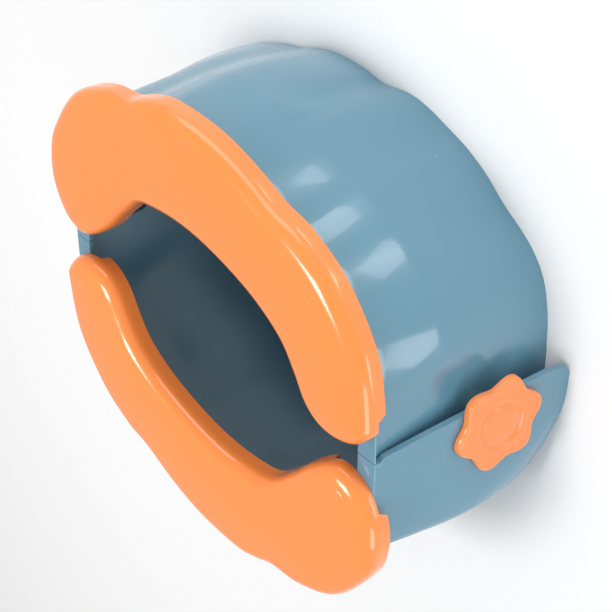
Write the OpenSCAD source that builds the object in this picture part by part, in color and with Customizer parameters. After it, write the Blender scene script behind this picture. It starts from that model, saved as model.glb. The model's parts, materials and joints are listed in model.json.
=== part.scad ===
// Folding travel potty: two moulded half shells hinged at both ends, each with a snap-on
// cloud-shaped seat half. Millimetres, +Z up, origin on the floor at the middle of the base.
// X runs along the hinge line (front at +X), the left half is at +Y, the right half at -Y.
// Left and right pieces are the same moulding, turned half a turn about Z.

/* [Overall] */
// Reach of the seat's widest lobe from the middle, along the hinge line
half_length = 116; // [100:1:140]
// Reach of the seat's edge from the middle, across the hinge line
half_width = 103; // [88:1:124]
// Height of the shell's top flange above the floor
shell_h = 103; // [86:1:124]

/* [Shell] */
// How far the end of the seam, where the two halves butt, lies inside the widest lobe
seam_inset = 13.5; // [10:0.5:18]
// Wall thickness
wall = 2.6; // [2:0.1:3.4]
// Width of the top flange, measured inward from the wall's outer face
flange_w = 10; // [8:0.5:12]
// Thickness of the top flange
flange_t = 3; // [2:0.1:4]
// Height of the soft crease round the shell, where the wall is widest
crease_z = 66; // [52:1:76]
// Depth of the grooves between the lobes of the lower shell
groove_depth = 2; // [1:0.5:4]
// Gap between the two halves where their tops butt
seam_gap = 0.3; // [0.2:0.1:0.6]

/* [Seat] */
// Height of the seat above the flange
seat_h = 10; // [8:0.5:12]
// Wall thickness of the hollow seat
seat_wall = 2.2; // [1.8:0.1:2.8]
// Radius of the seat's rounded edge
seat_round = 7.5; // [5:0.5:8]
// How far the seat's skirt hangs below the flange
skirt_drop = 4; // [2:0.5:6]
// Clearance between the skirt and the shell wall
skirt_gap = 0.6; // [0.4:0.1:1]
// Length of the notch in the skirt at each end of the seat
notch_len = 23; // [18:1:28]
// Radius of the pegs that hold the seat in the flange
peg_r = 2; // [1.5:0.1:2.5]

/* [Hinge] */
// Height of the pivots above the floor
pivot_z = 40; // [32:1:48]
// Radius of the pivot pins
pin_r = 4; // [3:0.25:5]
// Radial clearance of a pin in the ear that turns on it
pin_clearance = 0.08; // [0.03:0.01:0.1]
// Radius of the bosses round the pivots
boss_r = 8; // [7:0.5:9]
// Thickness of the thrust washer between tab and ear
thrust_t = 1.2; // [0.8:0.1:1.6]
// Radius of the flower cap at its petal tips
flower_r = 23.5; // [20:0.5:28]
// Depth of the scallops between the petals
petal_depth = 4; // [2:0.5:5]
// Thickness of the flower cap's plate
flower_t = 3.6; // [3:0.1:6]
// Radius of the round dish in the middle of the flower cap
dish_r = 13; // [10:0.5:15]

/* [Hidden] */

shell_colour = "#7396A6";
seat_colour = "#FF9A50";
cap_colour = "#F99758";
pin_colour = "#D8DCDD";
steel_colour = "#B9BDC0";

seam_half = half_length - seam_inset;

outer_steps = 4;
inner_steps = 3;
sides = 64;
eps = 0.01;

// The wide end of a half carries the hinge tab. Its flat face leans outward by
// tab_lean from flange to floor and is turned by tab_skew from square to the hinge line.
tab_lean = 0.22;
tab_skew = 0.16;
// The narrow end of a half carries the ear, which works inside the other half's tab.
ear_lean = 0.12;
ear_recess = 3;
ear_lip_drop = 0.4;
ear_lip = flange_t + ear_lip_drop;
ear_reach = 13;
ear_blend = [18, 46];
ear_z_share = [0.55, 1.6];
// Reach of the tab past the seam, its growth per mm of depth, and its lower corner's radius
tab_reach = 16.5;
tab_slope = 0.175;
tab_start = 6;
tab_rise = 2;
tab_corner = 4;
// Softness of the edge where an end face runs into the curved wall, and how far from the
// seam the end faces can reach
edge_soft = 2.2;
end_depth = 60;
// How far the unfaced wall would run past the seam's end, so that the end faces trim it
ear_stretch = 4;
tab_stretch = 18;
// How early along the wide end the wall swells out to that, 1 being evenly
tab_bulge = 2.2;
lip_round = 0.9;
flange_soft = 1;
wall_top_gap = 0.4;
overhang = skirt_gap + seat_wall;
// Hinge hardware
ear_boss_t = 5.2;
ear_boss_extra = 1;
boss_proud = 0.6;
washer_room = 2.5;
head_t = 3;
head_margin = 1.5;
retainer_t = 1.2;
retainer_r = 7.5;
screw_r = 1.6;
screw_length = 6;
screw_room = 1;
screw_head_r = 3.4;
screw_head_t = 2;
screw_slot = [1.4, 0.8, 4];
slot_place = 0.4;
// Play along the hinge line, snug radial fit, and how far cutters pass through
end_play = 0.15;
snug = 0.04;
over = 3;
// Flower cap
petal_n = 6;
petal_turn = 45;
petal_step = 4;
cap_gap = 0.25;
cap_bevel = 1;
dish_depth = 0.9;
dome_h = 1.3;
dome_inset = [2.5, 6];
hollow_gap = 0.6;
hollow_depth = 1.2;
spigot_r = 2;
spigot_gap = 1;
spigot_root = 2;
spigot_floor = 0.5;
// Where the seat's pegs sit, as shares of the wall's length and of the flange's width,
// their foot's extra radius, and how far they run into the seat's ceiling
PEG_SHARE = [0.10, 0.36, 0.62, 0.88];
peg_across = 0.55;
peg_foot = 1.6;
peg_bury = 0.4;

// Outline of one seat half, anticlockwise, as shares of half_length and half_width.
// The first points are the outer edge, from the narrow tip to the wide lobe.
OUTER = [
    [0.87, 0.20], [0.785, 0.475], [0.60, 0.705], [0.41, 0.822], [0.275, 0.86],
    [0.10, 0.937], [-0.10, 0.99], [-0.33, 0.995], [-0.455, 0.955], [-0.535, 0.913],
    [-0.69, 0.885], [-0.86, 0.78], [-0.975, 0.57], [-1.0, 0.42]
];
INNER = [
    [-0.975, 0.27], [-0.89, 0.135], [-0.79, 0.085], [-0.72, 0.105], [-0.62, 0.205],
    [-0.53, 0.335], [-0.43, 0.452], [-0.30, 0.493], [-0.13, 0.503], [0.045, 0.476],
    [0.24, 0.413], [0.395, 0.32], [0.483, 0.214], [0.552, 0.112], [0.63, 0.052],
    [0.72, 0.037], [0.81, 0.068], [0.858, 0.13]
];

// Wall of one shell half beside each point of OUTER, as shares of half_width: its inset
// under the seat at the flange, its outsets at the crease and at the foot, and its belly
// between those two.
WALL = [
    [0, 0.068, 0.097, 0], [0, 0.068, 0.083, 0], [0, 0.053, 0.033, 0],
    [0, 0.049, 0.041, 0], [0, 0.053, 0.062, 0], [0, 0.044, 0.042, 0],
    [0, 0.039, -0.008, 0.01], [0, 0.039, -0.01, 0.01], [0, 0.039, 0.001, 0.01],
    [0, 0.03, 0.01, 0.01], [0.03, -0.005, -0.014, 0.025], [0.085, -0.07, 0, 0.055],
    [0.08, -0.02, 0.02, 0.03], [0.02, 0.05, 0.05, 0.04]
];
// Grooves down the lower shell: place along the half's length, share of groove_depth
GROOVES = [[-0.07, 1], [0.58, 0.6]];
groove_width = 9;
groove_fade = [2, 22];
foot_curve = 2.2;
// Height of the foot's own rows, and the rows from there to the crease and to the flange
foot_top = 9;
foot_rows = 3;
lower_rows = 4;
upper_rows = 3;

function scaled(pts) = [for (p = pts) [p[0] * half_length, p[1] * half_width]];
function spline(a, b, c, d, t) =
    0.5 * (2 * b + (c - a) * t + (2 * a - 5 * b + 4 * c - d) * t * t
           + (3 * b - a - 3 * c + d) * t * t * t);
// Points of a closed curve, n(i) of them between its points i and i + 1
function closed_curve(pts, n) = let (m = len(pts))
    [for (i = [0 : m - 1]) for (k = [0 : n(i) - 1])
        spline(pts[(i + m - 1) % m], pts[i], pts[(i + 1) % m], pts[(i + 2) % m], k / n(i))];
// The same between the ends of an open table
function open_curve(rows, n) = let (m = len(rows))
    concat([for (i = [0 : m - 2]) for (k = [0 : n - 1])
        spline(rows[max(i - 1, 0)], rows[i], rows[i + 1], rows[min(i + 2, m - 1)], k / n)],
        [rows[m - 1]]);
function sum(v, i = 0) = i < len(v) ? v[i] + sum(v, i + 1) : 0;
function unit(v) = v / norm(v);
function left_of(v) = [-v[1], v[0]];
function ramp(x, a, b) = let (t = min(1, max(0, (x - a) / (b - a)))) t * t * (3 - 2 * t);
function soft_min(a, b, r) = let (h = max(0, r - abs(a - b)) / r) min(a, b) - h * h * r / 4;
function inward(pts) = let (m = len(pts))
    [for (i = [0 : m - 1]) left_of(unit(pts[(i + 1) % m] - pts[(i + m - 1) % m]))];

// ---- Shell ----

seat_outline = closed_curve(concat(scaled(OUTER), scaled(INNER)),
                            function (i) i < len(OUTER) ? outer_steps : inner_steps);
seat_inward = inward(seat_outline);
edge_count = (len(OUTER) - 1) * outer_steps;

// The wall follows the seat's outer edge, one overhang inside it, between the two ends
wall_path = [for (i = [1 : edge_count]) seat_outline[i] + seat_inward[i] * overhang];
wall_out = [for (i = [1 : edge_count]) -seat_inward[i]];
wall_rule = let (w = open_curve(WALL, outer_steps))
    [for (i = [1 : edge_count]) w[i] * half_width];
last = len(wall_path) - 1;
narrow_start = wall_path[0];
wide_start = wall_path[last];
END_STEPS = [1, 0.78, 0.55, 0.35, 0.18, 0];
flare_top = shell_h - skirt_drop - 1;

// Heights of the wall's rows, from the foot up to just under the flange
wall_rows = concat([0, foot_top / foot_rows, foot_top],
                   [for (k = [1 : lower_rows - 1])
                       foot_top + (crease_z - foot_top) * k / lower_rows],
                   [for (k = [0 : upper_rows - 1])
                       crease_z + (flare_top - crease_z) * k / upper_rows],
                   [flare_top, shell_h - flange_t - wall_top_gap]);

// Outset of the wall at height z: straight under the seat's skirt, a straight flare down
// to the crease, then a curve back in to the foot. w is the wall's rule at that place.
function outset(w, z) = z > flare_top ? -w[0]
    : z > crease_z ? -w[0] + (w[1] + w[0]) * (flare_top - z) / (flare_top - crease_z)
    : w[2] + (w[1] - w[2]) * (1 - pow(1 - z / crease_z, foot_curve))
        + 4 * w[3] * (z / crease_z) * (1 - z / crease_z);
function groove(x, z) = ramp(crease_z - z, groove_fade[0], groove_fade[1]) * groove_depth
    * sum([for (g = GROOVES) g[1] * exp(-pow((x - g[0] * half_length) / groove_width, 2))]);
// How far the tab and the ear reach past the seam at height z
function tab_edge(z) = let (drop = max(0, tab_corner - z))
    -seam_gap / 2 + ramp(shell_h - z, ear_lip, ear_lip + tab_rise)
    * (seam_gap / 2 + min(tab_reach, tab_slope * (shell_h + tab_start - z)))
    - (tab_corner - sqrt(tab_corner * tab_corner - drop * drop));
function ear_edge(z) = let (d = abs(z - pivot_z) / ear_reach)
    -seam_gap / 2 + ear_reach * (1 - ramp(d, ear_z_share[0], ear_z_share[1]));
function tab_face(y, z) = seam_half + tab_skew * y + tab_lean * (shell_h - z);
function ear_face(y, z) = seam_half - tab_skew * y + ear_lean * (shell_h - z)
    - ear_recess * ramp(shell_h - z, flange_t, ear_lip) * (1 - ramp(y, ear_blend[0], ear_blend[1]));

// One wall point: base point p, outward normal n, wall rule w, height z, inset from the face
function wall_point(p, n, w, z, inset) =
    let (side = p[0] > 0 ? 1 : -1,
         out = outset(w, z) - groove(p[0], z),
         x0 = abs(p[0] + n[0] * out),
         y0 = p[1] + n[1] * out,
         face = side > 0 ? ear_face(y0, z) : tab_face(y0, z),
         x1 = p[1] < end_depth ? soft_min(x0, face, edge_soft) : x0)
    [side * x1 - n[0] * inset, y0 - n[1] * inset, z];
function end_base(start, reach_x, t, y_end, bulge) =
    [start[0] + (reach_x - start[0]) * (1 - pow(t, bulge)), y_end + (start[1] - y_end) * t];

// The flange's corners after the wall's top row, as [height, inset], round its inner edge
flange_under = shell_h - flange_t;
FLANGE_ROWS = [
    [flange_under + flange_soft / 2, 0], [shell_h - lip_round, 0], [shell_h, lip_round],
    [shell_h, flange_w - lip_round], [shell_h - lip_round, flange_w],
    [flange_under, flange_w], [flange_under, flange_w - flange_soft],
    [flange_under, wall + 1.6 * flange_soft],
    [flange_under - 0.05 * flange_soft, wall + 0.6 * flange_soft],
    [flange_under - 0.2 * flange_soft, wall]
];

// Points of one station, all the way round the section
function section(p_of_z, n, w) = concat(
    [for (z = wall_rows) wall_point(p_of_z(z), n, w, z, 0)],
    [for (r = FLANGE_ROWS) wall_point(p_of_z(shell_h), n, w, r[0], r[1])],
    [for (k = [len(wall_rows) - 1 : -1 : 0])
        wall_point(p_of_z(wall_rows[k]), n, w, wall_rows[k], wall)]);

shell_sections = concat(
    [for (k = [len(END_STEPS) - 1 : -1 : 1]) let (t = END_STEPS[k])
        section(function (z) end_base(narrow_start, seam_half + ear_stretch, t, -ear_edge(z), 1),
                [1, 0], wall_rule[0])],
    [for (i = [0 : last])
        section(function (z) wall_path[i], wall_out[i], wall_rule[i])],
    [for (k = [1 : len(END_STEPS) - 1]) let (t = END_STEPS[k])
        section(function (z) end_base(wide_start, -(seam_half + tab_stretch), t, -tab_edge(z),
                                      tab_bulge),
                [-1, 0], wall_rule[last])]);

module skin(sections) {
    n = len(sections);
    m = len(sections[0]);
    half = m / 2;
    polyhedron(
        points = [for (s = sections) each s],
        faces = concat(
            [for (i = [0 : n - 2]) for (j = [0 : m - 1])
                [i * m + j, i * m + (j + 1) % m, (i + 1) * m + (j + 1) % m, (i + 1) * m + j]],
            [for (j = [0 : half - 2]) [j, m - 1 - j, m - 2 - j, j + 1]],
            [for (j = [0 : half - 2]) let (b = (n - 1) * m)
                [b + j, b + j + 1, b + m - 2 - j, b + m - 1 - j]]));
}

// ---- Pivots: distances outward along the hinge line, from the inside out ----

tab_out = tab_face(0, pivot_z);
ear_boss_out = ear_face(0, pivot_z) + boss_proud;
ear_boss_in = ear_boss_out - ear_boss_t;
washer_in = ear_boss_out + end_play;
tab_boss_in = washer_in + thrust_t + end_play;
head_seat = tab_boss_in + head_t;
head_r = boss_r - head_margin;
retainer_out = ear_boss_in - end_play;
screw_head_out = retainer_out - retainer_t;

module along_x(r, from, to) {
    translate([from, 0, pivot_z]) rotate([0, 90, 0]) cylinder(r = r, h = to - from, $fn = sides);
}
module half_turn() { rotate([0, 0, 180]) children(); }

// Pegs along the flange's middle
peg_places = [for (f = PEG_SHARE) let (i = round(f * last))
    wall_path[i] - wall_out[i] * (flange_w * peg_across + wall_rule[i][0])];

// A half shell: narrow end with the ear at +X, wide end with the tab at -X
module half_shell() {
    difference() {
        union() {
            skin(shell_sections);
            along_x(boss_r + ear_boss_extra, ear_boss_in, ear_boss_out);
            half_turn() along_x(boss_r, tab_boss_in, tab_out);
        }
        along_x(pin_r + pin_clearance, ear_boss_in - over, ear_boss_out + over);
        // Room for the thrust washer's edge and the tab's boss
        along_x(boss_r + washer_room, ear_boss_out, ear_boss_out + 2 * over);
        half_turn() along_x(pin_r + snug, tab_boss_in - over, tab_out + over);
        half_turn() along_x(head_r + snug, head_seat, tab_out + 2 * over);
        for (p = peg_places)
            translate([p[0], p[1], flange_under - over])
                cylinder(r = peg_r, h = flange_t + 2 * over, $fn = sides);
    }
}

// ---- Seat ----

top_z = shell_h + seat_h;
seat_base = shell_h - skirt_drop;

// The skirt stops short at both ends, where the seat rests on the shell's end flange
notch_share = 0.7;
function rim_z(p) = p[1] < notch_len && abs(p[0]) > notch_share * half_length
    ? shell_h : seat_base;

SIDE_ANGLES = [0, 22, 45, 68, 90];
// One ring of the seat's skin, inset from its outline; a rim ring follows the skirt's foot
function seat_ring(inset, z, rim) = [for (i = [0 : len(seat_outline) - 1])
    let (p = seat_outline[i] + seat_inward[i] * inset)
        [p[0], p[1], rim ? rim_z(seat_outline[i]) : z]];

outer_rings = concat(
    [seat_ring(0, 0, true)],
    [for (a = SIDE_ANGLES) seat_ring(seat_round * (1 - cos(a)),
                                     top_z - seat_round * (1 - sin(a)), false)]);
hollow_round = seat_round - seat_wall;
inner_rings = concat(
    [seat_ring(seat_wall, 0, true)],
    [for (a = SIDE_ANGLES) seat_ring(seat_wall + hollow_round * (1 - cos(a)),
                                     top_z - seat_wall - hollow_round * (1 - sin(a)), false)]);

module seat_skin() {
    m = len(seat_outline);
    a = len(outer_rings);
    b = len(inner_rings);
    rings = concat(outer_rings, [for (k = [b - 1 : -1 : 0]) inner_rings[k]]);
    total = len(rings);
    polyhedron(
        points = [for (r = rings) each r],
        faces = concat(
            [for (k = [0 : total - 1]) if (k != a - 1) let (q = (k + 1) % total)
                for (j = [0 : m - 1])
                    [k * m + j, q * m + j, q * m + (j + 1) % m, k * m + (j + 1) % m]],
            // Crown and ceiling: strips from the outer edge across to the opening's edge
            [for (j = [0 : m / 2 - 2]) let (c = (a - 1) * m)
                [c + j, c + m - 1 - j, c + m - 2 - j, c + j + 1]],
            [for (j = [0 : m / 2 - 2]) let (c = a * m)
                [c + j, c + j + 1, c + m - 2 - j, c + m - 1 - j]]));
}

module seat_half() {
    seat_skin();
    for (p = peg_places) translate([p[0], p[1], 0]) {
        translate([0, 0, shell_h])
            cylinder(r = peg_r + peg_foot, h = seat_h - seat_wall + peg_bury, $fn = sides);
        translate([0, 0, flange_under])
            cylinder(r = peg_r - snug, h = flange_t + peg_bury, $fn = sides);
    }
}

// ---- Hinge hardware, modelled at the front, on the right half's tab ----

function petal(a) = flower_r - petal_depth / 2 * (1 - cos(petal_n * a));
module petals(inset) {
    polygon([for (a = [0 : petal_step : 360 - petal_step])
        (petal(a + petal_turn) - inset) * [cos(a), sin(a)]]);
}
module flower() {
    difference() {
        translate([tab_out, 0, pivot_z]) rotate([0, 90 - atan(tab_lean), atan(tab_skew)]) {
            difference() {
                translate([0, 0, cap_gap]) {
                    linear_extrude(flower_t - cap_bevel) petals(0);
                    linear_extrude(flower_t - cap_bevel / 2) petals(cap_bevel / 4);
                    linear_extrude(flower_t) petals(cap_bevel);
                }
                translate([0, 0, cap_gap + flower_t - dish_depth])
                    cylinder(r1 = dish_r - dish_depth, r2 = dish_r, h = dish_depth, $fn = sides);
            }
            translate([0, 0, cap_gap + flower_t - dish_depth - eps])
                cylinder(r1 = dish_r - dome_inset[0], r2 = dish_r - dome_inset[1], h = dome_h,
                         $fn = sides);
        }
        // Hollow over the tab's boss
        along_x(boss_r + hollow_gap, tab_out - 4 * over, tab_out + hollow_depth);
    }
    along_x(spigot_r - snug, head_seat + spigot_gap, tab_out + spigot_root);
}
module pin() {
    difference() {
        union() {
            along_x(pin_r, retainer_out, head_seat + eps);
            along_x(head_r, head_seat, head_seat + head_t);
        }
        along_x(spigot_r, head_seat + spigot_floor, head_seat + head_t + over);
        along_x(screw_r, retainer_out - over, retainer_out + screw_length + screw_room);
    }
}
module thrust_washer() {
    difference() {
        along_x(boss_r, washer_in, washer_in + thrust_t);
        along_x(pin_r + end_play, washer_in - over, washer_in + thrust_t + over);
    }
}
module retaining_washer() {
    difference() {
        along_x(retainer_r, screw_head_out, retainer_out);
        along_x(screw_r + end_play, screw_head_out - over, retainer_out + over);
    }
}
module pivot_screw() {
    difference() {
        union() {
            along_x(screw_head_r, screw_head_out - screw_head_t, screw_head_out);
            along_x(screw_r - snug, screw_head_out - eps, retainer_out + screw_length);
        }
        for (a = [0, 90])
            translate([screw_head_out - screw_head_t + slot_place, 0, pivot_z]) rotate([a, 0, 0])
                cube(screw_slot, center = true);
    }
}

module left_shell() { color(shell_colour) half_shell(); }
module right_shell() { color(shell_colour) half_turn() half_shell(); }
module left_seat() { color(seat_colour) seat_half(); }
module right_seat() { color(seat_colour) half_turn() seat_half(); }
module front_flower_cap() { color(cap_colour) flower(); }
module rear_flower_cap() { color(cap_colour) half_turn() flower(); }
module front_pivot_pin() { color(pin_colour) pin(); }
module rear_pivot_pin() { color(pin_colour) half_turn() pin(); }
module front_thrust_washer() { color(pin_colour) thrust_washer(); }
module rear_thrust_washer() { color(pin_colour) half_turn() thrust_washer(); }
module front_retaining_washer() { color(steel_colour) retaining_washer(); }
module rear_retaining_washer() { color(steel_colour) half_turn() retaining_washer(); }
module front_pivot_screw() { color(steel_colour) pivot_screw(); }
module rear_pivot_screw() { color(steel_colour) half_turn() pivot_screw(); }

left_shell();
right_shell();
left_seat();
right_seat();
front_flower_cap();
rear_flower_cap();
front_pivot_pin();
rear_pivot_pin();
front_thrust_washer();
rear_thrust_washer();
front_retaining_washer();
rear_retaining_washer();
front_pivot_screw();
rear_pivot_screw();
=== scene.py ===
import json
import math

import bmesh
import bpy
from mathutils import Matrix, Vector


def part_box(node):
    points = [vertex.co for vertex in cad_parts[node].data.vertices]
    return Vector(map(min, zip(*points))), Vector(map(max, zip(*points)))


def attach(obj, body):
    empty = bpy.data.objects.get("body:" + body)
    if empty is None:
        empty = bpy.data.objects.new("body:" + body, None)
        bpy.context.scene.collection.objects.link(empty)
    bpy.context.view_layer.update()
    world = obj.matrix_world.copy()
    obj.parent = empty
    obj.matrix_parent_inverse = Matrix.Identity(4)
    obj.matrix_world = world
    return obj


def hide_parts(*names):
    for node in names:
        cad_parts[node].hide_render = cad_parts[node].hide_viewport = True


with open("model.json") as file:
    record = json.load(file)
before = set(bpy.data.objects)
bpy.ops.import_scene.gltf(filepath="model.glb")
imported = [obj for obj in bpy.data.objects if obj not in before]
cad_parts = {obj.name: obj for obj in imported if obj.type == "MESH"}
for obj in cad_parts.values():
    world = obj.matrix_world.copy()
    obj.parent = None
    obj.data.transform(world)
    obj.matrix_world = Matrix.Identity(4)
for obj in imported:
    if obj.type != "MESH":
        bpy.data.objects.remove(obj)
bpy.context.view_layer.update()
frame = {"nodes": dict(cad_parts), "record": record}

# ---------------------------------------------------------------------------
# The two half shells: thin-walled polypropylene mouldings, the same tool for both,
# turned half a turn to face each other. Each has a flange round the top that carries the
# seat, a wide end with an outer tab and a narrow end with an inner ear for the hinge.
# ---------------------------------------------------------------------------

MM = 0.001
SEAT_LOW, SEAT_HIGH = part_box("left_seat")
FLANGE_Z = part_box("left_shell")[1][2]
PIVOT_Z = frame["record"]["behaviour"]["joints"][0]["pos_m"][2]

HALF_LENGTH = -SEAT_LOW[0]
HALF_WIDTH = 103 * MM
SEAM_HALF = 102.5 * MM
WALL_T = 2.6 * MM
FLANGE_W = 10 * MM
FLANGE_T = 3 * MM
CREASE_Z = 66 * MM
SKIRT_DROP = 4 * MM
SEAM_GAP = 0.3 * MM
OVERHANG = 2.8 * MM
FLARE_MARGIN = 1 * MM
FOOT_TOP = 9 * MM
FOOT_CURVE = 2.2

TAB_LEAN = 0.22
TAB_SKEW = 0.16
TAB_REACH = 16.5 * MM
TAB_SLOPE = 0.175
TAB_START = 6 * MM
TAB_RISE = 2 * MM
TAB_CORNER = 4 * MM
EAR_LEAN = 0.12
EAR_RECESS = 3 * MM
EAR_LIP = 3.4 * MM
EAR_REACH = 13 * MM
EAR_Z_SHARE = (0.55, 1.6)
EAR_BLEND = (18 * MM, 46 * MM)
EDGE_SOFT = 2.2 * MM
END_DEPTH = 60 * MM
# How far the unfaced wall runs past the seam's end, and how early it swells out to that
EAR_STRETCH = 4 * MM
TAB_STRETCH = 18 * MM
TAB_BULGE = 2.2
GROOVE_DEPTH = 2 * MM
GROOVE_WIDTH = 9 * MM
GROOVE_FADE = (2 * MM, 22 * MM)
# Grooves down the lower wall: place along the half's length, share of the depth
GROOVES = ((-0.07, 1.0), (0.58, 0.6))

# One seat half's outer edge, from the narrow tip to the wide lobe, and beside each point
# the wall's inset at the flange, its outsets at the crease and at the foot, and its belly
# between. Shares of the half length and the half width.
OUTER = (
    (0.87, 0.2, 0, 0.068, 0.097, 0), (0.785, 0.475, 0, 0.068, 0.083, 0),
    (0.6, 0.705, 0, 0.053, 0.033, 0), (0.41, 0.822, 0, 0.049, 0.041, 0),
    (0.275, 0.86, 0, 0.053, 0.062, 0), (0.1, 0.937, 0, 0.044, 0.042, 0),
    (-0.1, 0.99, 0, 0.039, -0.008, 0.01), (-0.33, 0.995, 0, 0.039, -0.01, 0.01),
    (-0.455, 0.955, 0, 0.039, 0.001, 0.01), (-0.535, 0.913, 0, 0.03, 0.01, 0.01),
    (-0.69, 0.885, 0.03, -0.005, -0.014, 0.025), (-0.86, 0.78, 0.085, -0.07, 0, 0.055),
    (-0.975, 0.57, 0.08, -0.02, 0.02, 0.03), (-1, 0.42, 0.02, 0.05, 0.05, 0.04),
)
# The seat half's inner edge, from the wide lobe back to the narrow tip
INNER = (
    (-0.975, 0.27), (-0.89, 0.135), (-0.79, 0.085), (-0.72, 0.105), (-0.62, 0.205),
    (-0.53, 0.335), (-0.43, 0.452), (-0.30, 0.493), (-0.13, 0.503), (0.045, 0.476),
    (0.24, 0.413), (0.395, 0.32), (0.483, 0.214), (0.552, 0.112), (0.63, 0.052),
    (0.72, 0.037), (0.81, 0.068), (0.858, 0.13),
)


def spline(a, b, c, d, t):
    """The point at t between b and c of a smooth curve through a, b, c and d."""
    return 0.5 * (2 * b + (c - a) * t + (2 * a - 5 * b + 4 * c - d) * t * t
                  + (3 * b - a - 3 * c + d) * t ** 3)


def ramp(x, start, end):
    t = min(1, max(0, (x - start) / (end - start)))
    return t * t * (3 - 2 * t)


def soft_min(a, b, softness):
    h = max(0, softness - abs(a - b)) / softness
    return min(a, b) - h * h * softness / 4


def seat_edge(steps):
    """The seat half's closed outline, steps points for each of its own."""
    own = [Vector((x * HALF_LENGTH, y * HALF_WIDTH)) for x, y, *_ in OUTER + INNER]
    count = len(own)
    return [spline(own[i - 1], own[i], own[(i + 1) % count], own[(i + 2) % count], k / steps)
            for i in range(count) for k in range(steps)]


def outward(points):
    """The outward direction at each point of a closed outline that runs anticlockwise."""
    count = len(points)
    along = [(points[(i + 1) % count] - points[i - 1]).normalized() for i in range(count)]
    return [Vector((d.y, -d.x)) for d in along]


WALL_STEPS = 10
outline = seat_edge(WALL_STEPS)
away = outward(outline)
stations = range(WALL_STEPS // 4, (len(OUTER) - 1) * WALL_STEPS + 1)
wall_path = [outline[i] - away[i] * OVERHANG for i in stations]
wall_away = [away[i] for i in stations]


def wall_rule(i):
    """The wall's inset and outsets at outline point i, in metres."""
    part, k = divmod(i, WALL_STEPS)
    rows = [Vector(OUTER[min(max(part + j, 0), len(OUTER) - 1)][2:]) for j in (-1, 0, 1, 2)]
    return spline(*rows, k / WALL_STEPS) * HALF_WIDTH


wall_rules = [wall_rule(i) for i in stations]
FLARE_TOP = FLANGE_Z - SKIRT_DROP - FLARE_MARGIN


def outset(rule, z):
    """How far the wall stands out at height z: straight under the skirt, flared down to
    the crease, then curved back in to the foot."""
    if z > FLARE_TOP:
        return -rule[0]
    if z > CREASE_Z:
        return -rule[0] + (rule[1] + rule[0]) * (FLARE_TOP - z) / (FLARE_TOP - CREASE_Z)
    share = z / CREASE_Z
    return (rule[2] + (rule[1] - rule[2]) * (1 - (1 - share) ** FOOT_CURVE)
            + 4 * rule[3] * share * (1 - share))


def groove(x, z):
    fade = ramp(CREASE_Z - z, *GROOVE_FADE)
    return GROOVE_DEPTH * fade * sum(
        share * math.exp(-((x - place * HALF_LENGTH) / GROOVE_WIDTH) ** 2)
        for place, share in GROOVES)


def tab_edge(z):
    """How far the tab reaches past the seam at height z, with its lower corner rounded."""
    drop = max(0, TAB_CORNER - z)
    reach = min(TAB_REACH, TAB_SLOPE * (FLANGE_Z + TAB_START - z))
    shown = ramp(FLANGE_Z - z, EAR_LIP, EAR_LIP + TAB_RISE)
    return (-SEAM_GAP / 2 + shown * (SEAM_GAP / 2 + reach)
            - (TAB_CORNER - math.sqrt(TAB_CORNER ** 2 - drop ** 2)))


def ear_edge(z):
    return -SEAM_GAP / 2 + EAR_REACH * (1 - ramp(abs(z - PIVOT_Z) / EAR_REACH, *EAR_Z_SHARE))


def tab_face(y, z):
    return SEAM_HALF + TAB_SKEW * y + TAB_LEAN * (FLANGE_Z - z)


def ear_face(y, z):
    recess = ramp(FLANGE_Z - z, FLANGE_T, EAR_LIP) * (1 - ramp(y, *EAR_BLEND))
    return SEAM_HALF - TAB_SKEW * y + EAR_LEAN * (FLANGE_Z - z) - EAR_RECESS * recess


def wall_point(p, n, rule, z, inset):
    """A point of the wall beside p, whose outward direction is n, inset from its face."""
    side = 1 if p.x > 0 else -1
    out = outset(rule, z) - groove(p.x, z)
    x, y = abs(p.x + n.x * out), p.y + n.y * out
    if p.y < END_DEPTH:
        x = soft_min(x, ear_face(y, z) if side > 0 else tab_face(y, z), EDGE_SOFT)
    return (side * x - n.x * inset, y - n.y * inset, z)


def spread(start, end, count):
    return [start + (end - start) * k / count for k in range(count)]


wall_rows = (spread(0, FOOT_TOP, 4) + spread(FOOT_TOP, CREASE_Z, 12)
             + spread(CREASE_Z, FLARE_TOP, 10) + [FLARE_TOP, FLANGE_Z - FLANGE_T - 0.4 * MM])
LIP = 0.8 * MM
lip_arc = [(LIP * (1 - math.sin(a)), LIP * (1 - math.cos(a)))
           for a in (math.radians(t) for t in (0, 30, 60, 90))]
under = FLANGE_Z - FLANGE_T
flange_rows = ([(FLANGE_Z - drop, inset) for drop, inset in lip_arc]
               + [(FLANGE_Z - drop, FLANGE_W - inset) for drop, inset in reversed(lip_arc)]
               + [(under + 0.4 * MM, FLANGE_W), (under, FLANGE_W - 0.4 * MM),
                  (under, WALL_T + 1.6 * MM), (under - 0.2 * MM, WALL_T + 0.4 * MM),
                  (under - 0.8 * MM, WALL_T)])


def station(base_of_z, n, rule):
    """One closed section through the wall and its flange, from the foot's outer edge."""
    top = base_of_z(FLANGE_Z)
    return ([wall_point(base_of_z(z), n, rule, z, 0) for z in wall_rows]
            + [wall_point(top, n, rule, z, inset) for z, inset in flange_rows]
            + [wall_point(base_of_z(z), n, rule, z, WALL_T) for z in reversed(wall_rows)])


def end_base(start, reach_x, t, y_end, bulge=1):
    return Vector((start.x + (reach_x - start.x) * (1 - t ** bulge),
                   y_end + (start.y - y_end) * t))


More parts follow.
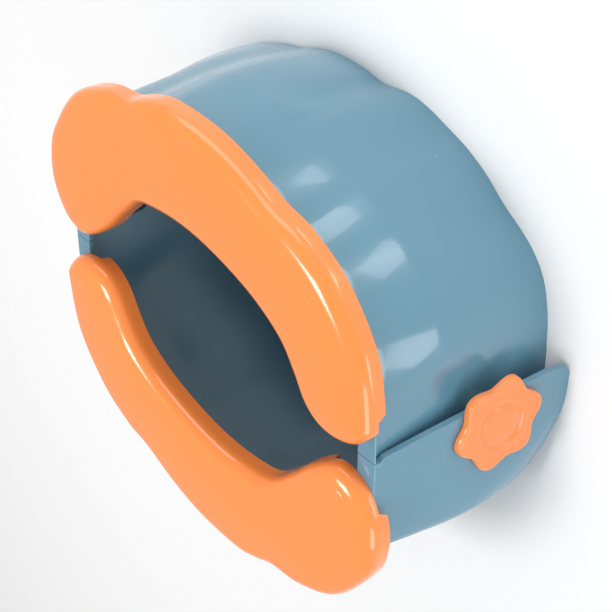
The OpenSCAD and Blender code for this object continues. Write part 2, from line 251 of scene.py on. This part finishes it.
END_STEPS = (1.0, 0.9, 0.8, 0.7, 0.6, 0.5, 0.4, 0.3, 0.2, 0.1, 0.03, 0.0)
sections = [station(lambda z: end_base(wall_path[0], SEAM_HALF + EAR_STRETCH, t, -ear_edge(z)),
                    Vector((1, 0)), wall_rules[0]) for t in reversed(END_STEPS[1:])]
sections += [station(lambda z: p, n, rule)
             for p, n, rule in zip(wall_path, wall_away, wall_rules)]
sections += [station(lambda z: end_base(wall_path[-1], -SEAM_HALF - TAB_STRETCH, t,
                                        -tab_edge(z), TAB_BULGE),
                     Vector((-1, 0)), wall_rules[-1]) for t in END_STEPS[1:]]


def loft(mesh, rings, capped):
    """Skins a row of closed rings into mesh, with quad strips across the two end rings."""
    grid = [[mesh.verts.new(p) for p in ring] for ring in rings]
    count = len(rings[0])
    for a, b in zip(grid, grid[1:]):
        for j in range(count):
            k = (j + 1) % count
            mesh.faces.new((a[j], a[k], b[k], b[j]))
    if capped:
        for ring, flip in ((grid[0], False), (grid[-1], True)):
            for j in range(count // 2 - 1):
                quad = (ring[j], ring[count - 1 - j], ring[count - 2 - j], ring[j + 1])
                mesh.faces.new(reversed(quad) if flip else quad)
    return grid


def tube(mesh, x_from, x_to, radius, hole, turn=1, segments=48):
    """A round boss along the hinge line, bored through when hole is over zero."""
    soft = 0.3 * MM
    step = soft if x_to > x_from else -soft
    profile = [(x_from + step, radius), (x_from, radius - soft), (x_from, hole), (x_to, hole),
               (x_to, radius - soft), (x_to - step, radius)]
    rings = []
    for k in range(segments):
        a = math.tau * k / segments
        rings.append([(turn * x, turn * r * math.cos(a), PIVOT_Z + r * math.sin(a))
                      for x, r in profile])
    loft(mesh, rings + rings[:1], False)


def finish_mesh(name, mesh, turned, sharp=35, bevel=None):
    """Makes the object: joins doubles, turns it half a turn if asked, and smooths it."""
    bmesh.ops.remove_doubles(mesh, verts=mesh.verts, dist=1e-6)
    bmesh.ops.recalc_face_normals(mesh, faces=mesh.faces)
    if turned:
        bmesh.ops.rotate(mesh, verts=mesh.verts, cent=(0, 0, 0),
                         matrix=Matrix.Rotation(math.pi, 3, "Z"))
    data = bpy.data.meshes.new(name)
    mesh.to_mesh(data)
    mesh.free()
    data.shade_smooth()
    data.set_sharp_from_angle(angle=math.radians(sharp))
    piece = bpy.data.objects.new(name, data)
    bpy.context.scene.collection.objects.link(piece)
    if bevel:
        rounding = piece.modifiers.new("rounded edges", "BEVEL")
        rounding.width = bevel
        rounding.segments = 3
        rounding.limit_method = "ANGLE"
        rounding.angle_limit = math.radians(48)
        rounding.harden_normals = True
    return piece


def new_group(name, inputs, outputs):
    """An empty shader node group with named value and colour sockets."""
    group = bpy.data.node_groups.new(name, "ShaderNodeTree")
    kinds = {float: "NodeSocketFloat", tuple: "NodeSocketColor"}
    for label, value in inputs.items():
        made = group.interface.new_socket(label, in_out="INPUT", socket_type=kinds[type(value)])
        made.default_value = value
    for label, kind in outputs.items():
        group.interface.new_socket(label, in_out="OUTPUT", socket_type=kinds[kind])
    return group, group.nodes.new("NodeGroupInput"), group.nodes.new("NodeGroupOutput")


def add(tree, kind, **settings):
    """A shader node, with its settings, and its inputs set or linked by socket name."""
    made = tree.nodes.new(kind)
    for key, value in settings.pop("settings", {}).items():
        setattr(made, key, value)
    for key, value in settings.items():
        socket = made.inputs[int(key[1:])] if key[0] == "_" else made.inputs[key.replace("_", " ")]
        if isinstance(value, bpy.types.NodeSocket):
            tree.links.new(value, socket)
        else:
            socket.default_value = value
    return made


# A moulded surface: slow drift of tone from the melt, fine pebble left by the tool, faint
# hairline scuffs, and a paler colour painted along sharp edges as a painted highlight.
moulded, moulded_in, moulded_out = new_group(
    "moulded surface",
    {"Colour": (0.5, 0.5, 0.5, 1.0), "Handled Colour": (0.8, 0.8, 0.8, 1.0), "Drift": 0.05,
     "Roughness": 0.2, "Pebble Size": 1600.0, "Scuffs": 0.1, "Edge Wear": 0.2},
    {"Colour": tuple, "Roughness": float, "Height": float})
place = add(moulded, "ShaderNodeTexCoord").outputs["Object"]
melt = add(moulded, "ShaderNodeTexNoise", Vector=place, Scale=14.0, Detail=3.0)
pebble = add(moulded, "ShaderNodeTexNoise", Vector=place, Detail=2.0,
             Scale=moulded_in.outputs["Pebble Size"])
stretched = add(moulded, "ShaderNodeMapping", Vector=place, Scale=(60.0, 900.0, 420.0),
                Rotation=(0.5, 0.3, 0.9))
hairs = add(moulded, "ShaderNodeTexNoise", Vector=stretched.outputs[0], Scale=1.0, Detail=4.0)
scuff = add(moulded, "ShaderNodeMapRange", Value=hairs.outputs[0], From_Min=0.62, From_Max=0.74)
patch = add(moulded, "ShaderNodeTexNoise", Vector=place, Scale=30.0, Detail=2.0)
patchy = add(moulded, "ShaderNodeMapRange", Value=patch.outputs[0], From_Min=0.48, From_Max=0.66)
scuffed = add(moulded, "ShaderNodeMath", settings={"operation": "MULTIPLY"},
              _0=scuff.outputs[0], _1=patchy.outputs[0])
scuffed = add(moulded, "ShaderNodeMath", settings={"operation": "MULTIPLY"},
              _0=scuffed.outputs[0], _1=moulded_in.outputs["Scuffs"])
# Sharp convex edges, found by pointiness, get the paler colour: a painted highlight
ridge = add(moulded, "ShaderNodeMapRange", From_Min=0.52, From_Max=0.6,
            Value=add(moulded, "ShaderNodeNewGeometry").outputs["Pointiness"])
painted_highlight_mask = add(moulded, "ShaderNodeMath", settings={"operation": "MULTIPLY"},
           _0=ridge.outputs[0], _1=moulded_in.outputs["Edge Wear"])
tone = add(moulded, "ShaderNodeMapRange", Value=melt.outputs[0], From_Min=0.3, From_Max=0.7,
           To_Min=-1.0, To_Max=1.0)
tone = add(moulded, "ShaderNodeMath", settings={"operation": "MULTIPLY_ADD"},
           _0=tone.outputs[0], _1=moulded_in.outputs["Drift"], _2=1.0)
toned = add(moulded, "ShaderNodeVectorMath", settings={"operation": "SCALE"},
            _0=moulded_in.outputs["Colour"], Scale=tone.outputs[0])
painted_highlight_mix = add(moulded, "ShaderNodeMix", settings={"data_type": "RGBA"}, _0=painted_highlight_mask.outputs[0],
              _6=toned.outputs[0], _7=moulded_in.outputs["Handled Colour"])
rough = add(moulded, "ShaderNodeMath", settings={"operation": "MULTIPLY_ADD"},
            _0=melt.outputs[0], _1=0.05, _2=moulded_in.outputs["Roughness"])
rough = add(moulded, "ShaderNodeMath", settings={"operation": "MULTIPLY_ADD"},
            _0=scuffed.outputs[0], _1=0.5, _2=rough.outputs[0])
height = add(moulded, "ShaderNodeMath", settings={"operation": "SUBTRACT"},
             _0=pebble.outputs[0], _1=scuffed.outputs[0])
moulded.links.new(painted_highlight_mix.outputs[2], moulded_out.inputs["Colour"])
moulded.links.new(rough.outputs[0], moulded_out.inputs["Roughness"])
moulded.links.new(height.outputs[0], moulded_out.inputs["Height"])


def moulded_plastic(name, colour, painted_highlight_colour, roughness, pebble_size, pebble_depth,
                    drift=0.03, scuffs=0.15, edge_wear=0.25, coat=0.4):
    """A glossy or satin moulded plastic with the moulded surface group's detail and painted edge
    highlight.
    """
    material = bpy.data.materials.new(name)
    material.use_nodes = True
    tree = material.node_tree
    shader = tree.nodes["Principled BSDF"]
    surface = add(tree, "ShaderNodeGroup", settings={"node_tree": moulded}, Colour=colour,
                  Handled_Colour=painted_highlight_colour, Drift=drift, Roughness=roughness,
                  Pebble_Size=pebble_size, Scuffs=scuffs, Edge_Wear=edge_wear)
    bump = add(tree, "ShaderNodeBump", Strength=0.35, Distance=pebble_depth,
               Height=surface.outputs["Height"])
    tree.links.new(surface.outputs["Colour"], shader.inputs["Base Color"])
    tree.links.new(surface.outputs["Roughness"], shader.inputs["Roughness"])
    tree.links.new(bump.outputs["Normal"], shader.inputs["Normal"])
    shader.inputs["IOR"].default_value = 1.5
    shader.inputs["Coat Weight"].default_value = coat
    shader.inputs["Coat Roughness"].default_value = 0.06
    return material


def dress(node, material):
    """Gives a CAD node's object a material in place of its plain one."""
    data = frame["nodes"][node].data
    data.materials.clear()
    data.materials.append(material)


# The second colour is a painted highlight, paler, along the shell's sharp edges
shell_plastic = moulded_plastic(
    "blue-grey polypropylene", (0.120, 0.285, 0.390, 1), (0.26, 0.42, 0.52, 1),
    roughness=0.2, pebble_size=900.0, pebble_depth=0.00004)

BOSS_R = 8 * MM
EAR_BOSS_R = 9 * MM
EAR_BOSS_T = 5.2 * MM
EAR_BOSS_PROUD = 0.6 * MM
BORE_R = 4.08 * MM
END_PLAY = 0.15 * MM
CAP_ROOM = 2.4 * MM
ear_out = ear_face(0, PIVOT_Z) + EAR_BOSS_PROUD
ear_in = ear_out - EAR_BOSS_T
tab_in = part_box("front_thrust_washer")[1][0] + END_PLAY
tab_out = tab_face(0, PIVOT_Z)

for side, body, turned in (("left", "left_half", False), ("right", "right_half", True)):
    mesh = bmesh.new()
    loft(mesh, sections, True)
    tube(mesh, ear_in, ear_out, EAR_BOSS_R, BORE_R)
    tube(mesh, tab_in, tab_out - CAP_ROOM, BOSS_R, BORE_R, turn=-1)
    shell = finish_mesh(f"{side}_half_shell", mesh, turned, bevel=0.55 * MM)
    shell.data.materials.append(shell_plastic)
    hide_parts(f"{side}_shell")
    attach(shell, body)

# ---------------------------------------------------------------------------
# The two seat halves: hollow orange mouldings with a gently crowned top and a full, round
# edge. A skirt hangs over the shell's flange and stops short at both ends; pegs
# underneath press into the flange.
# ---------------------------------------------------------------------------

SEAT_TOP = SEAT_HIGH[2]
SEAT_FOOT = SEAT_LOW[2]
SEAT_WALL = 2.2 * MM
SEAT_ROUND = 7.5 * MM
SEAT_CROWN = 0.9 * MM
NOTCH_LEN = 23 * MM
NOTCH_SHARE = 0.7
SEAT_STEPS = 12
BAND_POINTS = 150
CROWN_COLUMNS = 8
# Band width at which the crown is at its full height, and how square it is
CROWN_WIDTH = 24 * MM
CROWN_POWER = 0.8
REST_GAP = 0.1 * MM
# Where the band of the seat ends: which of its inner edge's own points are its tips
WIDE_TIP, NARROW_TIP = 2, 15


def walked(points, count):
    """count + 1 points evenly spaced along a path."""
    reach = [0.0]
    for a, b in zip(points, points[1:]):
        reach.append(reach[-1] + (b - a).length)
    found, k = [], 0
    for i in range(count + 1):
        wanted = reach[-1] * i / count
        while k < len(reach) - 2 and reach[k + 1] < wanted:
            k += 1
        span = reach[k + 1] - reach[k]
        found.append(points[k].lerp(points[k + 1], (wanted - reach[k]) / span))
    return found


def seat_band():
    """The outline as two edges of equal point count, both from narrow tip to wide tip."""
    edge = seat_edge(SEAT_STEPS)
    wide = (len(OUTER) + WIDE_TIP) * SEAT_STEPS
    narrow = (len(OUTER) + NARROW_TIP) * SEAT_STEPS
    outer = walked(edge[narrow:] + edge[:wide + 1], BAND_POINTS)
    inner = walked(edge[wide:narrow + 1], BAND_POINTS)
    return outer[:-1] + inner[:-1]


band = seat_band()
band_away = outward(band)


def rim_height(p):
    notched = p.y < NOTCH_LEN and abs(p.x) > NOTCH_SHARE * HALF_LENGTH
    return FLANGE_Z + REST_GAP if notched else SEAT_FOOT


def seat_ring(inset, z):
    """One ring of the seat, inset from its outline; z is a height or a rule for one."""
    ring = []
    for p, n in zip(band, band_away):
        at = p - n * inset
        ring.append((at.x, at.y, z(p) if callable(z) else z))
    return ring


def seat_side(inset, radius, top):
    """Rings up the side and round the edge, from the skirt's foot to the crown's edge."""
    rings = [seat_ring(inset, rim_height), seat_ring(inset, FLANGE_Z + 2 * REST_GAP)]
    for angle in range(0, 91, 10):
        a = math.radians(angle)
        rings.append(seat_ring(inset + radius * (1 - math.cos(a)),
                               top - radius * (1 - math.sin(a))))
    return rings


def crown(mesh, ring, rise):
    """Closes a ring with strips from the outer edge to the inner one, raised between."""
    count = len(ring)
    half = count // 2
    rows = []
    for j in range(1, half):
        a, b = ring[j], ring[count - j]
        row = [a]
        for k in range(1, CROWN_COLUMNS):
            t = k / CROWN_COLUMNS
            width = min(1, (b.co - a.co).length / CROWN_WIDTH)
            lift = rise * width * (4 * t * (1 - t)) ** CROWN_POWER
            row.append(mesh.verts.new(a.co.lerp(b.co, t) + Vector((0, 0, lift))))
        rows.append(row + [b])
    for row, following in zip(rows, rows[1:]):
        for k in range(CROWN_COLUMNS):
            mesh.faces.new((row[k], row[k + 1], following[k + 1], following[k]))
    for tip, row in ((ring[0], rows[0]), (ring[half], rows[-1])):
        for k in range(CROWN_COLUMNS):
            mesh.faces.new((tip, row[k], row[k + 1]))


def peg(mesh, at, radius, z_from, z_to, segments=24):
    """A round peg, closed at its foot and open where it runs into the piece above."""
    for k in range(segments):
        a, b = math.tau * k / segments, math.tau * (k + 1) / segments
        ring = [(at.x + radius * math.cos(t), at.y + radius * math.sin(t)) for t in (a, b)]
        low_a, low_b = (mesh.verts.new((x, y, z_from)) for x, y in ring)
        top_a, top_b = (mesh.verts.new((x, y, z_to)) for x, y in ring)
        mesh.faces.new((low_a, low_b, top_b, top_a))
        mesh.faces.new((low_b, low_a, mesh.verts.new((at.x, at.y, z_from))))


# The second colour is a painted highlight, paler, along the seat's sharp edges
seat_plastic = moulded_plastic(
    "soft orange polypropylene", (1.0, 0.280, 0.058, 1), (1.0, 0.46, 0.22, 1),
    roughness=0.18, pebble_size=1100.0, pebble_depth=0.00003, drift=0.02)

# Where the pegs sit, as shares of the wall's length and of the flange's width
PEG_SHARES = (0.10, 0.36, 0.62, 0.88)
PEG_ACROSS = 0.55
PEG_R = 1.95 * MM
PEG_FOOT_R = 3.6 * MM
PEG_PROUD = 0.4 * MM
for side, body, turned in (("left", "left_half", False), ("right", "right_half", True)):
    mesh = bmesh.new()
    skin = loft(mesh, list(reversed(seat_side(SEAT_WALL, SEAT_ROUND - SEAT_WALL,
                                              SEAT_TOP - SEAT_CROWN - SEAT_WALL)))
                + seat_side(0, SEAT_ROUND, SEAT_TOP - SEAT_CROWN), False)
    crown(mesh, skin[-1], SEAT_CROWN)
    crown(mesh, skin[0], SEAT_CROWN)
    for share in PEG_SHARES:
        i = round(share * (len(wall_path) - 1))
        at = wall_path[i] - wall_away[i] * (FLANGE_W * PEG_ACROSS + wall_rules[i][0])
        peg(mesh, at, PEG_R, under - PEG_PROUD, FLANGE_Z)
        peg(mesh, at, PEG_FOOT_R, FLANGE_Z, SEAT_TOP - SEAT_WALL)
    seat = finish_mesh(f"{side}_seat_half", mesh, turned, sharp=50, bevel=0.4 * MM)
    seat.data.materials.append(seat_plastic)
    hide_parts(f"{side}_seat")
    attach(seat, body)

# ---------------------------------------------------------------------------
# The two flower caps: orange covers with six petals, a soft raised rim and a round dish
# with a low dome. Each lies flat on its leaning tab, pressed into the pivot pin's head.
# ---------------------------------------------------------------------------

PETALS = 6
PETAL_TURN = math.radians(45)
FLOWER_R = 23.5 * MM
PETAL_DEPTH = 4 * MM
CAP_GAP = 0.25 * MM
CAP_SEGMENTS = 180
# The cap's face from its middle to its edge: radius and height over the tab. The last
# five follow the petals, the others are round.
CAP_FACE = (
    (0.0, 4.1), (3.0, 4.08), (6.0, 3.95), (8.2, 3.7), (9.4, 3.42), (10.2, 3.1), (10.8, 2.98),
    (11.4, 3.05), (12.0, 3.4), (12.6, 3.66), (13.4, 3.75), (14.6, 3.68),
)
CAP_RIM = ((4.2, 3.45), (3.2, 3.5), (2.2, 3.72), (1.3, 3.74), (0.6, 3.45), (0.15, 2.9),
           (0.0, 2.3), (0.0, 0.3))


def petal_radius(angle):
    return FLOWER_R - PETAL_DEPTH / 2 * (1 - math.cos(PETALS * (angle + PETAL_TURN)))


def cap_mesh():
    """One cap lying on the front tab, with a flat back."""
    mesh = bmesh.new()
    rings = []
    for k in range(CAP_SEGMENTS):
        a = math.tau * k / CAP_SEGMENTS
        edge = petal_radius(a)
        rows = [(r * MM, h * MM) for r, h in CAP_FACE[1:]]
        rows += [(edge - back * MM, h * MM) for back, h in CAP_RIM]
        rings.append([(r * math.cos(a), r * math.sin(a), h) for r, h in rows])
    grid = [[mesh.verts.new(p) for p in ring] for ring in rings]
    middle = mesh.verts.new((0, 0, CAP_FACE[0][1] * MM))
    below = mesh.verts.new((0, 0, CAP_GAP))
    for a, b in zip(grid, grid[1:] + grid[:1]):
        mesh.faces.new((middle, a[0], b[0]))
        mesh.faces.new((below, b[-1], a[-1]))
        for j in range(len(a) - 1):
            mesh.faces.new((a[j], a[j + 1], b[j + 1], b[j]))
    lean = Matrix.Rotation(math.atan(TAB_SKEW), 4, "Z") @ Matrix.Rotation(
        math.pi / 2 - math.atan(TAB_LEAN), 4, "Y")
    mesh.transform(Matrix.Translation((tab_out, 0, PIVOT_Z)) @ lean)
    return mesh


# The second colour is a painted highlight, paler, along the cap's sharp edges
cap_plastic = moulded_plastic(
    "orange cap plastic", (0.98, 0.270, 0.065, 1), (1.0, 0.44, 0.2, 1),
    roughness=0.26, pebble_size=1300.0, pebble_depth=0.00003, drift=0.02)

for end, body, turned in (("front", "right_half", False), ("rear", "left_half", True)):
    cap = finish_mesh(f"{end}_flower_cap_cover", cap_mesh(), turned, sharp=60)
    cap.data.materials.append(cap_plastic)
    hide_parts(f"{end}_flower_cap")
    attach(cap, body)

# ---------------------------------------------------------------------------
# The pivot pins and thrust washers: turned or moulded in natural acetal, a pale satin
# plastic that runs well. Each pin is pushed through tab and ear from outside.
# ---------------------------------------------------------------------------

# The second colour is a painted highlight, paler, along the sharp edges of pins and washers
acetal = moulded_plastic(
    "natural acetal", (0.62, 0.63, 0.60, 1), (0.78, 0.78, 0.75, 1), roughness=0.36,
    pebble_size=2200.0, pebble_depth=0.00002, drift=0.04, scuffs=0.4, edge_wear=0.4, coat=0.0)
for end in ("front", "rear"):
    for part in ("pivot_pin", "thrust_washer"):
        dress(f"{end}_{part}", acetal)

# ---------------------------------------------------------------------------
# The retaining washers and pivot screws: stainless steel, turned on a lathe, so the tool
# marks run round the hinge line. Each screw draws its washer against the pin's end.
# ---------------------------------------------------------------------------

stainless = bpy.data.materials.new("turned stainless steel")
stainless.use_nodes = True
tree = stainless.node_tree
steel = tree.nodes["Principled BSDF"]
centre = add(tree, "ShaderNodeVectorMath", settings={"operation": "SUBTRACT"},
             _0=add(tree, "ShaderNodeTexCoord").outputs["Object"], _1=(0, 0, PIVOT_Z))
turned_marks = add(tree, "ShaderNodeTexWave", Vector=centre.outputs[0], Scale=900.0,
                   Distortion=1.5, Detail=2.0,
                   settings={"wave_type": "RINGS", "rings_direction": "X"})
blotch = add(tree, "ShaderNodeTexNoise", Vector=centre.outputs[0], Scale=400.0, Detail=3.0)
steel_tone = add(tree, "ShaderNodeMix", settings={"data_type": "RGBA"},
                 _0=blotch.outputs[0], _6=(0.52, 0.53, 0.54, 1), _7=(0.66, 0.66, 0.66, 1))
steel_rough = add(tree, "ShaderNodeMapRange", Value=blotch.outputs[0], To_Min=0.2, To_Max=0.38)
steel_bump = add(tree, "ShaderNodeBump", Strength=0.25, Distance=0.00002,
                 Height=turned_marks.outputs["Fac"])
steel.inputs["Metallic"].default_value = 1.0
tree.links.new(steel_tone.outputs[2], steel.inputs["Base Color"])
tree.links.new(steel_rough.outputs[0], steel.inputs["Roughness"])
tree.links.new(steel_bump.outputs["Normal"], steel.inputs["Normal"])
for end in ("front", "rear"):
    for part in ("retaining_washer", "pivot_screw"):
        dress(f"{end}_{part}", stainless)

# ---------------------------------------------------------------------------
# The studio: a plain pale floor in a pale room, softboxes overhead, at the side and at the
# end, and three panes near the floor that the glossy wall mirrors as bright patches.
# ---------------------------------------------------------------------------

mesh = bmesh.new()
FLOOR_HALF = 3.0
mesh.faces.new([mesh.verts.new((x * FLOOR_HALF, y * FLOOR_HALF, 0))
                for x, y in ((-1, -1), (1, -1), (1, 1), (-1, 1))])
floor = finish_mesh("studio_floor", mesh, False)
paper = bpy.data.materials.new("pale studio paper")
paper.use_nodes = True
fibres = add(paper.node_tree, "ShaderNodeTexNoise", Scale=220.0, Detail=4.0,
             Vector=add(paper.node_tree, "ShaderNodeTexCoord").outputs["Object"])
paper_tone = add(paper.node_tree, "ShaderNodeMix", settings={"data_type": "RGBA"},
                 _0=fibres.outputs[0], _6=(0.90, 0.90, 0.90, 1), _7=(0.93, 0.93, 0.93, 1))
sheet = paper.node_tree.nodes["Principled BSDF"]
sheet.inputs["Roughness"].default_value = 0.9
sheet.inputs["Specular IOR Level"].default_value = 0.1
paper.node_tree.links.new(paper_tone.outputs[2], sheet.inputs["Base Color"])
floor.data.materials.append(paper)

room = bpy.data.worlds.new("pale room")
room.use_nodes = True
glow = room.node_tree.nodes["Background"]
glow.inputs["Color"].default_value = (1.0, 1.0, 1.0, 1)
glow.inputs["Strength"].default_value = 0.58
bpy.context.scene.world = room
bpy.context.scene.view_settings.view_transform = "Standard"

AIM = Vector((0, 0, 0.05))


def softbox(name, at, size, watts, aim=AIM):
    """A rectangular light of size (width, height) metres, turned to face aim."""
    lamp = bpy.data.lights.new(name, "AREA")
    lamp.shape = "RECTANGLE"
    lamp.size, lamp.size_y = size
    lamp.energy = watts
    box = bpy.data.objects.new(name, lamp)
    box.location = at
    box.rotation_euler = (Vector(aim) - Vector(at)).to_track_quat("-Z", "Y").to_euler("XYZ")
    bpy.context.scene.collection.objects.link(box)
    return box


softbox("overhead_softbox", (-0.05, 0.12, 1.3), (0.42, 0.34), 8)
softbox("side_softbox", (-0.5, 1.7, 0.4), (1.5, 0.7), 9)
softbox("end_softbox", (1.5, -0.5, 0.5), (0.8, 0.6), 6)

# The panes, facing up from just above the floor: place, size, turn about the vertical in
# degrees, watts
PANE_Z = 4 * MM
PANES = (((0.048, 0.276), (0.055, 0.060), -15, 0.055),
         ((0.165, 0.228), (0.050, 0.085), -60, 0.07),
         ((0.330, 0.060), (0.130, 0.110), 20, 0.18))
for number, (at, size, turned, watts) in enumerate(PANES, 1):
    pane = softbox(f"window_pane_{number}", (*at, PANE_Z), size, watts, aim=(*at, 1.0))
    pane.rotation_euler.z = math.radians(turned)
    pane.visible_camera = False

# The camera stands at the front left, well above the seat, rolled to the right
CAMERA_AT = Vector((0.32347, 0.35514, 0.41272))
CAMERA_LOOKS = Vector((-0.52850, -0.59437, -0.60614))
CAMERA_UP = Vector((-0.49461, 0.79589, -0.34918))
CAMERA_LENS = 74.06
lens = bpy.data.cameras.new("camera")
lens.lens = CAMERA_LENS
lens.sensor_width = 36
camera = bpy.data.objects.new("camera", lens)
right = CAMERA_LOOKS.cross(CAMERA_UP).normalized()
true_up = right.cross(CAMERA_LOOKS).normalized()
turn = Matrix((right, true_up, -CAMERA_LOOKS)).transposed().to_4x4()
camera.matrix_world = Matrix.Translation(CAMERA_AT) @ turn
bpy.context.scene.collection.objects.link(camera)
bpy.context.scene.camera = camera
